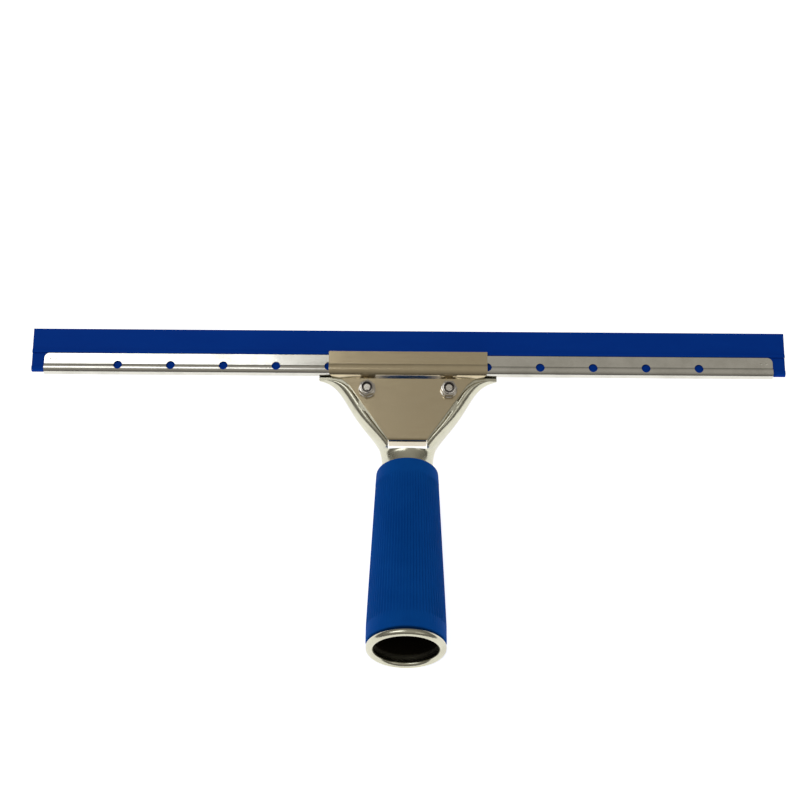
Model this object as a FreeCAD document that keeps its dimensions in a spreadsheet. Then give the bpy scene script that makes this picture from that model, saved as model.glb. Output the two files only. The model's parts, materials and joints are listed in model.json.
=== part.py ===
"""Window cleaning squeegee: stamped steel handle and jaws, sliding channel, rubber blade and grip.

Row frame, in millimetres: the origin is the centre of the pole socket's mouth, where the curl ends and the
straight bore begins. +Y runs along the handle to the head, +X along the blade and +Z out of the front, where
the nuts are. The head is bent up by bend_angle.
Head frame: its origin lies on the line of the channel's holes, in the plane where the two jaws part; its
own +Y points at the blade's lip and its +Z is the screws' axis.
"""
import FreeCAD, Part
import math
import os
import Sketcher

SIZES = {
    # handle tube, rolled from the same sheet as the fan
    "mouth_bore_radius": 14.4,
    "socket_land": 12.0,
    "frame_sheet": 1.2,
    "curl_radius": 1.75,
    "curl_gap_angle": 60.0,
    "neck_radius": 12.2,
    "bend_distance": 93.3,
    "bend_angle": 20.0,
    "tube_end_setback": 4.0,
    # grip sleeve
    "grip_curl_gap": 0.5,
    "grip_end_setback": 2.5,
    "grip_wall": 2.3,
    "grip_tube_clearance": 0.05,
    "grip_shoulder": 1.8,
    "grip_edge": 0.5,
    # head, measured from the line of the channel's holes
    "neck_drop": 42.0,
    "jaw_width": 75.0,
    "jaw_sheet": 1.2,
    "jaw_reach": 7.2,
    "jaw_clearance": 0.1,
    "wall_angle": 55.0,
    "shoulder_drop": 8.3,
    "shoulder_half": 28.0,
    "corner_drop": 4.9,
    "corner_round": 2.2,
    "corner_half": 31.5,
    "tail_drop": 35.9,
    "tail_half": 8.8,
    "tail_depth": 9.0,
    "tail_bend": 0.6,
    "tail_clearance": 0.4,
    "slot_gap": 2.7,
    # fan behind the front jaw
    "fan_width": 84.0,
    "fan_start_drop": 6.4,
    "rim_width": 7.2,
    "rim_rise": 1.6,
    "rim_gap": 0.7,
    "rim_depth": 3.4,
    "recess_radius": 4.2,
    "recess_drop": 6.4,
    "recess_depth": 0.12,
    # clamp fasteners
    "screw_radius": 2.0,
    "screw_spacing": 38.5,
    "screw_drop": 11.0,
    "screw_length": 8.0,
    "screw_tip_chamfer": 0.5,
    "frame_hole_clearance": 0.15,
    "jaw_hole_clearance": 0.35,
    "screw_head_radius": 4.0,
    "screw_head_height": 2.6,
    "recess_cross_width": 1.1,
    "recess_cross_length": 4.4,
    "recess_cross_depth": 1.4,
    "washer_radius": 4.0,
    "washer_height": 0.5,
    "washer_clearance": 0.15,
    "nut_width": 7.0,
    "nut_hexagon_height": 3.4,
    "nut_height": 5.0,
    "nut_clearance": 0.06,
    "left_nut_turn": 22.0,
    "collar_radius": 3.05,
    "collar_wall": 0.4,
    "collar_round": 0.5,
    "collar_lip": 0.3,
    "insert_clearance": 0.03,
    # channel
    "channel_length": 345.0,
    "channel_sheet": 0.8,
    "channel_reach": 5.65,
    "leg_half": 2.0,
    "bulb_radius": 2.8,
    "bulb_drop": 1.4,
    "hole_radius": 2.1,
    "hole_pitch": 25.0,
    "channel_corner": 2.5,
    "stake_radius": 0.6,
    "stake_depth": 0.4,
    "stake_inset": 3.2,
    # rubber blade
    "rubber_length": 357.0,
    "lip_reach": 17.9,
    "lip_half": 1.5,
    "flange_half": 1.9,
    "flange_height": 1.3,
    "flange_gap": 0.3,
    "bead_clearance": 0.3,
    "leg_clearance": 0.1,
}
HOLE_COUNT = 12
CUT_MARGIN = 4.0
FAN_TUBE_INSET = 0.1
BEND_SETBACK = 0.6
TUBE_LAP = 3.0
CROWN_SLOPE = 0.6
NUT_MARGIN = 1.0

doc = FreeCAD.newDocument("squeegee")
sheet = doc.addObject("Spreadsheet::Sheet", "Sizes")
for row, (alias, number) in enumerate(SIZES.items(), start=1):
    sheet.set("A%d" % row, alias)
    sheet.set("B%d" % row, str(number))
    sheet.setAlias("B%d" % row, alias)
doc.recompute()


class Size:
    """A size known both as a number and as an expression on the sheet."""

    def __init__(self, number, text):
        self.number = float(number)
        self.text = text

    def __add__(self, other):
        other = as_size(other)
        return Size(self.number + other.number, "(%s + %s)" % (self.text, other.text))

    def __sub__(self, other):
        other = as_size(other)
        return Size(self.number - other.number, "(%s - %s)" % (self.text, other.text))

    def __mul__(self, other):
        other = as_size(other)
        return Size(self.number * other.number, "(%s * %s)" % (self.text, other.text))

    def __truediv__(self, other):
        other = as_size(other)
        return Size(self.number / other.number, "(%s / %s)" % (self.text, other.text))

    def __neg__(self):
        return Size(-self.number, "(0 - %s)" % self.text)


def as_size(value):
    """The value itself if it is a Size already, and a plain number as a Size otherwise."""
    if isinstance(value, Size):
        return value
    return Size(value, repr(float(value)))


def named(alias):
    """A driving size, by its alias on the sheet."""
    return Size(sheet.get(alias), "Sizes." + alias)


def plain(alias):
    """A driving size as a plain number."""
    return named(alias).number


def sine(angle):
    return Size(math.sin(math.radians(angle.number)), "sin(%s)" % angle.text)


def cosine(angle):
    return Size(math.cos(math.radians(angle.number)), "cos(%s)" % angle.text)


def other_side(hypotenuse, side):
    """The third side of a right triangle."""
    number = math.sqrt(hypotenuse.number ** 2 - side.number ** 2)
    return Size(number, "sqrt(%s * %s - %s * %s)" % (hypotenuse.text, hypotenuse.text, side.text, side.text))


# ---------------------------------------------------------------- sketch and body helpers

def new_body(name):
    body = doc.addObject("PartDesign::Body", name)
    body.AllowCompound = True
    return body


def sketch_on(body, name, plane, lift=None):
    """A sketch on one of the body's own origin planes, lifted along the plane's normal."""
    sketch = body.newObject("Sketcher::SketchObject", name)
    support = [feature for feature in body.Origin.OriginFeatures if feature.Role == plane][0]
    sketch.AttachmentSupport = [(support, "")]
    sketch.MapMode = "FlatFace"
    if lift is not None:
        sketch.setExpression(".AttachmentOffset.Base.z", lift.text)
        doc.recompute()
    return sketch


def bind(sketch, kind, references, size):
    """Add a driving constraint and tie its value to the sheet."""
    index = sketch.addConstraint(Sketcher.Constraint(kind, *references, size.number))
    sketch.setExpression("Constraints[%d]" % index, size.text)


def pin_point(sketch, edge, end, place):
    """Hold a point at its two distances from the sketch's origin."""
    across, up = place
    if across.text == "0.0":
        sketch.addConstraint(Sketcher.Constraint("PointOnObject", edge, end, -2))
    else:
        bind(sketch, "DistanceX", (-1, 1, edge, end), across)
    if up.text == "0.0":
        sketch.addConstraint(Sketcher.Constraint("PointOnObject", edge, end, -1))
    else:
        bind(sketch, "DistanceY", (-1, 1, edge, end), up)


def draw_outline(sketch, corners):
    """A closed outline through the corners.

    A corner is (across, up), or (across, up, radius, turn) where the edge that leaves it is an arc:
    turn is +1 if the arc runs anticlockwise and -1 if it runs clockwise, and each arc is under half a turn.
    """
    places = [tuple(as_size(value) for value in corner[:2]) for corner in corners]
    ends = []
    for index, corner in enumerate(corners):
        here = places[index]
        there = places[(index + 1) % len(corners)]
        start = FreeCAD.Vector(here[0].number, here[1].number, 0)
        finish = FreeCAD.Vector(there[0].number, there[1].number, 0)
        if len(corner) == 2:
            edge = sketch.addGeometry(Part.LineSegment(start, finish), False)
            ends.append((edge, 1, 2))
            continue
        radius, turn = as_size(corner[2]), corner[3]
        chord = finish - start
        rise = math.sqrt(max(radius.number ** 2 - (chord.Length / 2) ** 2, 0.0))
        left = FreeCAD.Vector(-chord.y, chord.x, 0).normalize()
        centre = (start + finish) / 2 + left * rise * turn
        first, last = (start, finish) if turn > 0 else (finish, start)
        angles = [math.atan2(point.y - centre.y, point.x - centre.x) for point in (first, last)]
        circle = Part.Circle(centre, FreeCAD.Vector(0, 0, 1), radius.number)
        edge = sketch.addGeometry(Part.ArcOfCircle(circle, angles[0], angles[1]), False)
        ends.append((edge, 1, 2) if turn > 0 else (edge, 2, 1))
    for index, (edge, start_end, finish_end) in enumerate(ends):
        following = ends[(index + 1) % len(ends)]
        sketch.addConstraint(Sketcher.Constraint("Coincident", edge, finish_end, following[0], following[1]))
        pin_point(sketch, edge, start_end, places[index])
    for index, corner in enumerate(corners):
        if len(corner) == 4:
            bind(sketch, "Radius", (ends[index][0],), as_size(corner[2]))


def draw_circle(sketch, across, up, radius):
    across, up = as_size(across), as_size(up)
    centre = FreeCAD.Vector(across.number, up.number, 0)
    edge = sketch.addGeometry(Part.Circle(centre, FreeCAD.Vector(0, 0, 1), radius.number), False)
    pin_point(sketch, edge, 3, (across, up))
    bind(sketch, "Radius", (edge,), radius)


def pad(body, name, sketch, length, symmetric=False, backwards=False):
    feature = body.newObject("PartDesign::Pad", name)
    feature.Profile = sketch
    feature.setExpression("Length", length.text)
    feature.SideType = "Symmetric" if symmetric else "One side"
    feature.Reversed = backwards
    doc.recompute()
    return feature


def pocket(body, name, sketch, depth, symmetric=False, backwards=False):
    """Cut the sketch out of the body, and make sure that something was cut."""
    before = body.Shape.Volume
    feature = body.newObject("PartDesign::Pocket", name)
    feature.Profile = sketch
    feature.setExpression("Length", depth.text)
    feature.SideType = "Symmetric" if symmetric else "One side"
    feature.Reversed = backwards
    doc.recompute()
    if not feature.Shape.Volume < before:
        raise ValueError("%s cuts nothing" % name)
    return feature


def revolve(body, name, sketch):
    """A full turn of the sketch about its own vertical axis."""
    feature = body.newObject("PartDesign::Revolution", name)
    feature.Profile = sketch
    feature.ReferenceAxis = (sketch, ["V_Axis"])
    feature.Angle = 360
    doc.recompute()
    return feature


def place_in_head(thing, across=0.0, along=0.0, proud=0.0):
    """Put a piece modelled in the head frame at its place in the row frame."""
    across, along, proud = as_size(across), as_size(along), as_size(proud)
    thing.Placement = FreeCAD.Placement(
        FreeCAD.Vector(0, 0, 0), FreeCAD.Rotation(FreeCAD.Vector(1, 0, 0), bend_angle.number))
    level = head_y + along * cosine(bend_angle) - proud * sine(bend_angle)
    height = head_z + along * sine(bend_angle) + proud * cosine(bend_angle)
    thing.setExpression(".Placement.Base.x", across.text)
    thing.setExpression(".Placement.Base.y", level.text)
    thing.setExpression(".Placement.Base.z", height.text)
    thing.setExpression(".Placement.Rotation.Angle", bend_angle.text)


# ---------------------------------------------------------------- sizes that several pieces share

bend_angle = named("bend_angle")
bend_distance = named("bend_distance")
neck_radius = named("neck_radius")
neck_drop = named("neck_drop")
frame_sheet = named("frame_sheet")
jaw_sheet = named("jaw_sheet")
head_y = bend_distance + neck_drop * cosine(bend_angle)
head_z = neck_radius + neck_drop * sine(bend_angle)

mouth_radius = named("mouth_bore_radius") + frame_sheet
socket_land = named("socket_land")
taper = (mouth_radius - neck_radius) / (bend_distance - socket_land)
tube_end = bend_distance - named("tube_end_setback")
curl_radius = named("curl_radius")
curl_seat = named("mouth_bore_radius") + curl_radius

leg_half = named("leg_half")
bulb_radius = named("bulb_radius")
bulb_drop = named("bulb_drop")
wall_angle = named("wall_angle")
jaw_clearance = named("jaw_clearance")
jaw_reach = named("jaw_reach")
tail_face = named("tail_drop") - jaw_sheet
seat_radius = bulb_radius + jaw_clearance
seat_leg = leg_half + jaw_clearance
screw_half = named("screw_spacing") / 2
screw_drop = named("screw_drop")


def tube_radius(distance):
    """Outer radius of the tapered tube at a distance from the mouth beyond the socket's land."""
    return mouth_radius - taper * (distance - socket_land)


def jaw_contour(sheet_size):
    """One jaw's contour round half of the channel, as (inner, outer) corners from the floor to the lip.

    A flat stretch lies along the channel's leg, an arc goes round its bulb and a wall slopes to the floor.
    """
    sides = []
    for offset in (as_size(0.0), sheet_size):
        radius = seat_radius + offset
        leg = seat_leg + offset
        foot = -bulb_drop - radius / sine(wall_angle) + offset * cosine(wall_angle) / sine(wall_angle)
        tangent = (-bulb_drop - radius * sine(wall_angle), radius * cosine(wall_angle))
        crease = -bulb_drop + other_side(radius, leg)
        sides.append(((foot, offset), tangent, (crease, leg), (jaw_reach, leg), radius))
    return sides


# ---------------------------------------------------------------- rubber blade and channel

def make_channel():
    body = new_body("channel")
    wall = named("channel_sheet")
    reach = named("channel_reach")
    inner_bulb = bulb_radius - wall
    inner_leg = leg_half - wall
    outer_neck = other_side(bulb_radius, leg_half) - bulb_drop
    inner_neck = other_side(inner_bulb, inner_leg) - bulb_drop
    bottom = -bulb_drop - bulb_radius
    inner_bottom = -bulb_drop - inner_bulb
    section = sketch_on(body, "channel_section", "YZ_Plane")
    draw_outline(section, [
        (reach, leg_half),
        (outer_neck, leg_half, bulb_radius, 1),
        (-bulb_drop - bulb_radius * 0.6, bulb_radius * 0.8, bulb_radius, 1),
        (bottom, 0.0, bulb_radius, 1),
        (-bulb_drop - bulb_radius * 0.6, -bulb_radius * 0.8, bulb_radius, 1),
        (outer_neck, -leg_half),
        (reach, -leg_half),
        (reach, -inner_leg),
        (inner_neck, -inner_leg, inner_bulb, -1),
        (-bulb_drop - inner_bulb * 0.6, -inner_bulb * 0.8, inner_bulb, -1),
        (inner_bottom, 0.0, inner_bulb, -1),
        (-bulb_drop - inner_bulb * 0.6, inner_bulb * 0.8, inner_bulb, -1),
        (inner_neck, inner_leg),
        (reach, inner_leg),
    ])
    length = named("channel_length")
    pad(body, "channel_fold", section, length, symmetric=True)
    pitch = named("hole_pitch")
    first_hole = sketch_on(body, "first_hole", "XY_Plane")
    draw_circle(first_hole, -pitch * ((HOLE_COUNT - 1) / 2), 0.0, named("hole_radius"))
    hole = pocket(body, "hole", first_hole, bulb_radius * 4, symmetric=True)
    row = body.newObject("PartDesign::LinearPattern", "hole_row")
    row.Originals = [hole]
    row.Direction = (first_hole, ["H_Axis"])
    row.setExpression("Length", (pitch * (HOLE_COUNT - 1)).text)
    row.Occurrences = HOLE_COUNT
    body.Tip = row
    doc.recompute()
    stakes = sketch_on(body, "stakes", "XY_Plane", leg_half)
    for side in (-1, 1):
        for step in (1.0, 1.8):
            across = (length / 2 - named("stake_inset") * step) * side
            draw_circle(stakes, across, reach - named("stake_inset"), named("stake_radius"))
    marked = pocket(body, "stake_marks", stakes, named("stake_depth"))
    corners = [
        "Edge%d" % (index + 1) for index, edge in enumerate(body.Shape.Edges)
        if abs(edge.Length - wall.number) < 1e-4
        and all(abs(abs(v.X) - length.number / 2) < 1e-4 for v in edge.Vertexes)
        and all(abs(v.Y - reach.number) < 1e-4 for v in edge.Vertexes)
    ]
    rounding = body.newObject("PartDesign::Fillet", "rounded_ends")
    rounding.Base = (marked, corners)
    rounding.setExpression("Radius", "Sizes.channel_corner")
    doc.recompute()
    place_in_head(body)
    return body


def make_rubber():
    body = new_body("blade_rubber")
    wall = named("channel_sheet")
    bead = bulb_radius - wall - named("bead_clearance")
    neck = leg_half - wall - named("leg_clearance")
    neck_foot = other_side(bead, neck) - bulb_drop
    flange = named("flange_half")
    flange_foot = named("channel_reach") + named("flange_gap")
    flange_top = flange_foot + named("flange_height")
    lip = named("lip_half")
    lip_reach = named("lip_reach")
    bottom = -bulb_drop - bead
    section = sketch_on(body, "rubber_section", "YZ_Plane")
    draw_outline(section, [
        (neck_foot, neck, bead, 1),
        (-bulb_drop - bead * 0.6, bead * 0.8, bead, 1),
        (bottom, 0.0, bead, 1),
        (-bulb_drop - bead * 0.6, -bead * 0.8, bead, 1),
        (neck_foot, -neck),
        (flange_foot, -neck),
        (flange_foot, -flange),
        (flange_top, -flange),
        (flange_top + (flange - lip), -lip),
        (lip_reach, -lip),
        (lip_reach, lip),
        (flange_top + (flange - lip), lip),
        (flange_top, flange),
        (flange_foot, flange),
        (flange_foot, neck),
    ])
    pad(body, "rubber_extrusion", section, named("rubber_length"), symmetric=True)
    place_in_head(body)
    return body


# ---------------------------------------------------------------- front jaw

def plate_edge(drop):
    """Half width of the front jaw's plate at a drop below the line of holes."""
    run = (drop - named("shoulder_drop")) / (named("tail_drop") - named("shoulder_drop"))
    return named("shoulder_half") - (named("shoulder_half") - named("tail_half")) * run


def make_jaw_plate():
    body = new_body("jaw_plate")
    inner, outer = jaw_contour(jaw_sheet)
    bend = named("tail_bend")
    depth = named("tail_depth")
    face = -tail_face
    back = -named("tail_drop")
    section = sketch_on(body, "jaw_section", "YZ_Plane")
    draw_outline(section, [
        inner[3],
        inner[2] + (inner[4], 1),
        (-bulb_drop, inner[4], inner[4], 1),
        inner[1],
        inner[0],
        (face + bend, 0.0, bend, 1),
        (face, -bend),
        (face, -depth),
        (back, -depth),
        (back, -bend, bend + jaw_sheet, -1),
        (face + bend, jaw_sheet),
        outer[0],
        outer[1] + (outer[4], -1),
        (-bulb_drop, outer[4], outer[4], -1),
        outer[2],
        outer[3],
    ])
    width = named("jaw_width")
    pad(body, "jaw_fold", section, width, symmetric=True)
    beyond = width / 2 + CUT_MARGIN
    past_tail = named("tail_drop") + CUT_MARGIN
    corner = named("corner_drop")
    rounding = named("corner_round")
    tail = named("tail_half")
    flanks = sketch_on(body, "jaw_flanks", "XY_Plane")
    for side in (1, -1):
        draw_outline(flanks, [
            (beyond * side, -corner + rounding),
            (width / 2 * side, -corner + rounding, rounding, -side),
            ((width / 2 - rounding) * side, -corner),
            (named("corner_half") * side, -corner - bend),
            (named("shoulder_half") * side, -named("shoulder_drop")),
            (tail * side, -named("tail_drop") + bend),
            (tail * side, -past_tail),
            (beyond * side, -past_tail),
        ])
    pocket(body, "jaw_outline", flanks, width, symmetric=True)
    holes = sketch_on(body, "jaw_holes", "XY_Plane")
    for side in (1, -1):
        draw_circle(holes, screw_half * side, -screw_drop, named("screw_radius") + named("jaw_hole_clearance"))
    pocket(body, "screw_holes", holes, jaw_sheet * 4, symmetric=True)
    place_in_head(body)
    return body


# ---------------------------------------------------------------- handle frame: tube, fan and rear jaw

def make_tube():
    """The rolled tube with its curled mouth and a straight land for a pole's tip."""
    body = new_body("tube")
    bore = named("mouth_bore_radius")
    inner_curl = curl_radius - frame_sheet
    gap = named("curl_gap_angle")
    section = sketch_on(body, "tube_section", "XY_Plane")
    gap_cos, gap_sin = cosine(gap), sine(gap)
    draw_outline(section, [
        (bore, 0.0, curl_radius, 1),
        (curl_seat, -curl_radius, curl_radius, 1),
        (curl_seat + curl_radius, 0.0, curl_radius, 1),
        (curl_seat + curl_radius * gap_cos, curl_radius * gap_sin),
        (curl_seat + inner_curl * gap_cos, inner_curl * gap_sin, inner_curl, -1),
        (curl_seat + inner_curl, 0.0, inner_curl, -1),
        (curl_seat, -inner_curl, inner_curl, -1),
        (curl_seat - inner_curl, 0.0),
        (mouth_radius, socket_land),
        (tube_radius(tube_end), tube_end),
        (tube_radius(tube_end) - frame_sheet, tube_end),
        (bore, socket_land),
    ])
    revolve(body, "tube_turn", section)
    return body


def make_rear_jaw():
    """The fan's top, folded behind the channel."""
    body = new_body("rear_jaw")
    inner, outer = jaw_contour(frame_sheet)
    start = -named("fan_start_drop")
    section = sketch_on(body, "rear_section", "YZ_Plane")
    inner_down = [(place[0], -place[1]) for place in inner[:4]]
    outer_down = [(place[0], -place[1]) for place in outer[:4]]
    draw_outline(section, [
        (start, 0.0),
        (inner_down[0][0], 0.0),
        inner_down[1] + (inner[4], 1),
        (-bulb_drop, -inner[4], inner[4], 1),
        inner_down[2],
        inner_down[3],
        outer_down[3],
        outer_down[2] + (outer[4], -1),
        (-bulb_drop, -outer[4], outer[4], -1),
        outer_down[1],
        outer_down[0],
        (start, -frame_sheet),
    ])
    pad(body, "rear_fold", section, named("fan_width"), symmetric=True)
    place_in_head(body)
    return body


def head_point(across, along, proud):
    """A point of the head frame, in the row frame."""
    angle = math.radians(bend_angle.number)
    return FreeCAD.Vector(
        across,
        head_y.number + along * math.cos(angle) - proud * math.sin(angle),
        head_z.number + along * math.sin(angle) + proud * math.cos(angle))


def tube_point(across, distance, radius_top, height):
    """A point of the row frame at a distance from the mouth; its height is added to the tube's front line."""
    return FreeCAD.Vector(across, distance, radius_top + height)


FLOOR_SHARES = (-1.0, -0.5, 0.0, 0.5, 1.0)
RIM_ANGLES = (40.0, 50.0, 62.0, 76.0, 92.0, 108.0, 126.0)


def stamped_rim(floor_half, outer_half, rise, depth):
    """The rim's section: a step up from the floor, a rounded crest and a fall to the rear."""
    width = outer_half - floor_half
    fall = rise + depth
    return [
        (floor_half, 0.0),
        (floor_half + 0.06 * width, 0.60 * rise),
        (floor_half + 0.17 * width, 0.95 * rise),
        (floor_half + 0.34 * width, rise),
        (floor_half + 0.64 * width, rise - 0.16 * fall),
        (floor_half + 0.89 * width, rise - 0.50 * fall),
        (outer_half, -depth),
    ]


def round_rim(radius):
    """The same points on the tube's circle, which touches the floor's plane at its front."""
    angles = [math.radians(angle) for angle in RIM_ANGLES]
    return [(radius * math.sin(angle), radius * math.cos(angle) - radius) for angle in angles]


def blend_points(first, second, share):
    return [
        (a[0] * (1 - share) + b[0] * share, a[1] * (1 - share) + b[1] * share)
        for a, b in zip(first, second)
    ]


def curve_through(points):
    curve = Part.BSplineCurve()
    curve.interpolate(points)
    return curve


def section_wire(floor, rim, thickness, to_space):
    """Closed section of the sheet: floor, both rims and the offset rear side."""
    left = [(-x, z) for x, z in reversed(rim)]
    front = [left, floor, rim]
    rear = []
    for run in front:
        curve = curve_through([FreeCAD.Vector(x, z, 0) for x, z in run])
        moved = []
        for x, z in run:
            along = curve.tangent(curve.parameter(FreeCAD.Vector(x, z, 0)))[0]
            moved.append((x + along.y * thickness, z - along.x * thickness))
        rear.append(moved)
    for first, second in ((0, 1), (1, 2)):
        joint = tuple((a + b) / 2 for a, b in zip(rear[first][-1], rear[second][0]))
        rear[first][-1] = joint
        rear[second][0] = joint
    edges = [curve_through([to_space(x, z) for x, z in run]).toShape() for run in front]
    edges.append(Part.makeLine(to_space(*front[2][-1]), to_space(*rear[2][-1])))
    for run in reversed(rear):
        edges.append(curve_through([to_space(x, z) for x, z in reversed(run)]).toShape())
    edges.append(Part.makeLine(to_space(*rear[0][0]), to_space(*front[0][0])))
    return Part.Wire(edges)


def make_fan():
    """The fan: a flat floor between raised rims, which closes round into the tube at the neck."""
    rise = plain("rim_rise")
    depth = plain("rim_depth")
    gap = plain("rim_gap")
    radius = neck_radius.number
    start = plain("fan_start_drop")
    slot_foot = plain("tail_drop") + plain("slot_gap")
    run = slot_foot - start
    stations = [
        # drop, rim rise, rim depth, share of roundness
        (start, 0.4 * rise, 0.45 * depth, 0.0),
        (start + 0.12 * run, rise, depth, 0.0),
        (start + 0.42 * run, rise, depth * 1.3, 0.0),
        (start + 0.72 * run, rise, depth * 1.8, 0.03),
        (slot_foot - 1.0, rise * 0.7, depth * 2.6, 0.30),
    ]
    wires = []
    for index, (drop, step, fall, share) in enumerate(stations):
        size_drop = as_size(drop)
        floor_half = plate_edge(size_drop).number + gap
        outer_half = floor_half - gap + plain("rim_width")
        if index == 0:
            floor_half = plain("fan_width") / 2 - plain("rim_width")
            outer_half = plain("fan_width") / 2
        rim = blend_points(stamped_rim(floor_half, outer_half, step, fall), round_rim(radius), share)
        flat = [(floor_half * part, 0.0) for part in FLOOR_SHARES]
        curved = [
            (radius * math.sin(math.radians(RIM_ANGLES[0] * part)),
             radius * math.cos(math.radians(RIM_ANGLES[0] * part)) - radius)
            for part in FLOOR_SHARES]
        floor = blend_points(flat, curved, share)
        wires.append(section_wire(
            floor, rim, frame_sheet.number, lambda x, z, drop=drop: head_point(x, -drop, z)))
    stamped_count = len(wires)
    inset = FAN_TUBE_INSET
    for distance in (bend_distance.number - BEND_SETBACK, tube_end.number, tube_end.number - TUBE_LAP):
        outer = tube_radius(as_size(distance)).number - inset
        rim = round_rim(outer)
        floor = [
            (outer * math.sin(math.radians(RIM_ANGLES[0] * part)),
             outer * math.cos(math.radians(RIM_ANGLES[0] * part)) - outer)
            for part in FLOOR_SHARES]
        wires.append(section_wire(
            floor, rim, frame_sheet.number - 2 * inset,
            lambda x, z, distance=distance, outer=outer: tube_point(x, distance, outer, z)))
    fan = doc.addObject("Part::Feature", "fan")
    spread = Part.makeLoft(wires[:stamped_count], True, False)
    closing = Part.makeLoft(wires[stamped_count - 1:], True, False)
    fan.Shape = spread.fuse(closing)
    return fan


def make_cutter(name, loops, lift, height):
    """A straight cutter in the head frame: the loops padded up from a level."""
    body = new_body(name)
    sketch = sketch_on(body, name + "_sketch", "XY_Plane", lift)
    for loop in loops:
        loop(sketch)
    pad(body, name + "_pad", sketch, height)
    place_in_head(body)
    return body


def make_handle_frame():
    """The stamped frame: tube, fan and rear jaw joined, then cut for the jaw's tail and the screws."""
    recess_radius = named("recess_radius")
    recess_at = -screw_drop - named("recess_drop")
    recess_wall = recess_radius + frame_sheet

    def both_sides(up, radius):
        def draw(sketch):
            for side in (1, -1):
                draw_circle(sketch, screw_half * side, up, radius)
        return draw

    gap = named("rim_gap")
    tail_drop = named("tail_drop")
    slot_foot = tail_drop + named("slot_gap")

    def draw_seat(sketch):
        top = -screw_drop
        edge = plate_edge(screw_drop) + gap
        foot = named("tail_half") + gap
        draw_outline(sketch, [(edge, top), (-edge, top), (-foot, -tail_drop), (foot, -tail_drop)])

    cups = doc.addObject("Part::Cut", "recess_cups")
    cups.Base = make_cutter("cup_discs", [both_sides(recess_at, recess_wall)], -frame_sheet,
                            frame_sheet + named("rim_rise") / 2)
    cups.Tool = make_cutter("plate_seat", [draw_seat], -frame_sheet / 4, named("rim_rise") * 4)
    joined = doc.addObject("Part::MultiFuse", "frame_joined")
    joined.Shapes = [make_tube(), make_fan(), make_rear_jaw(), cups]
    doc.recompute()

    def draw_slot(sketch):
        half = named("tail_half") + named("tail_clearance")
        top = -tail_face + named("tail_bend") + named("tail_clearance")
        draw_outline(sketch, [(half, top), (-half, top), (-half, -slot_foot), (half, -slot_foot)])

    screw_hole = named("screw_radius") + named("frame_hole_clearance")
    depth = frame_sheet * 3
    cutters = [
        make_cutter("tail_slot", [draw_slot], -depth, depth * 2),
        make_cutter("screw_ways", [both_sides(-screw_drop, screw_hole)], -depth, depth * 2),
        make_cutter("recesses", [both_sides(recess_at, recess_radius)], -named("recess_depth"),
                    named("rim_rise") * 4),
    ]
    frame = joined
    for cutter in cutters:
        cut = doc.addObject("Part::Cut", "handle_frame" if cutter is cutters[-1] else "cut_by_" + cutter.Label)
        cut.Base = frame
        cut.Tool = cutter
        frame = cut
    doc.recompute()
    return frame


# ---------------------------------------------------------------- grip

def make_grip():
    body = new_body("grip_sleeve")
    start = curl_radius + named("grip_curl_gap")
    finish = bend_distance - named("grip_end_setback")
    clearance = named("grip_tube_clearance")
    wall = named("grip_wall")
    shoulder = named("grip_shoulder")
    edge = named("grip_edge")
    section = sketch_on(body, "grip_section", "XY_Plane")
    outer_start = mouth_radius + wall
    outer_finish = tube_radius(finish) + wall
    draw_outline(section, [
        (mouth_radius + clearance, start),
        (outer_start - edge, start, edge, 1),
        (outer_start, start + edge),
        (outer_finish + taper * shoulder, finish - shoulder, shoulder, 1),
        (outer_finish - shoulder, finish),
        (tube_radius(finish) + clearance, finish),
        (mouth_radius + clearance, socket_land),
    ])
    revolve(body, "grip_turn", section)
    return body


# ---------------------------------------------------------------- clamp fasteners

def make_screw(side_name, side):
    body = new_body("clamp_screw_" + side_name)
    shank = named("screw_radius")
    head = named("screw_head_radius")
    height = named("screw_head_height")
    length = named("screw_length")
    chamfer = named("screw_tip_chamfer")
    edge = height * 0.45
    section = sketch_on(body, "screw_section", "XZ_Plane")
    draw_outline(section, [
        (0.0, -height),
        (head * 0.6, -height, head * 1.2, 1),
        (head, -edge),
        (head, 0.0),
        (shank, 0.0),
        (shank, length - chamfer),
        (shank - chamfer, length),
        (0.0, length),
    ])
    revolve(body, "screw_turn", section)
    half_long = named("recess_cross_length") / 2
    half_wide = named("recess_cross_width") / 2
    for name, across, up in (("slot_one", half_long, half_wide), ("slot_two", half_wide, half_long)):
        cross = sketch_on(body, name, "XY_Plane", -height)
        draw_outline(cross, [(across, up), (-across, up), (-across, -up), (across, -up)])
        pocket(body, name + "_cut", cross, named("recess_cross_depth"), backwards=True)
    place_in_head(body, screw_half * side, -screw_drop, -frame_sheet)
    return body


def make_washer(side_name, side):
    body = new_body("washer_" + side_name)
    ring = sketch_on(body, "washer_ring", "XY_Plane")
    draw_circle(ring, 0.0, 0.0, named("washer_radius"))
    draw_circle(ring, 0.0, 0.0, named("screw_radius") + named("washer_clearance"))
    pad(body, "washer_pad", ring, named("washer_height"))
    place_in_head(body, screw_half * side, -screw_drop, jaw_sheet)
    return body


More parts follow.
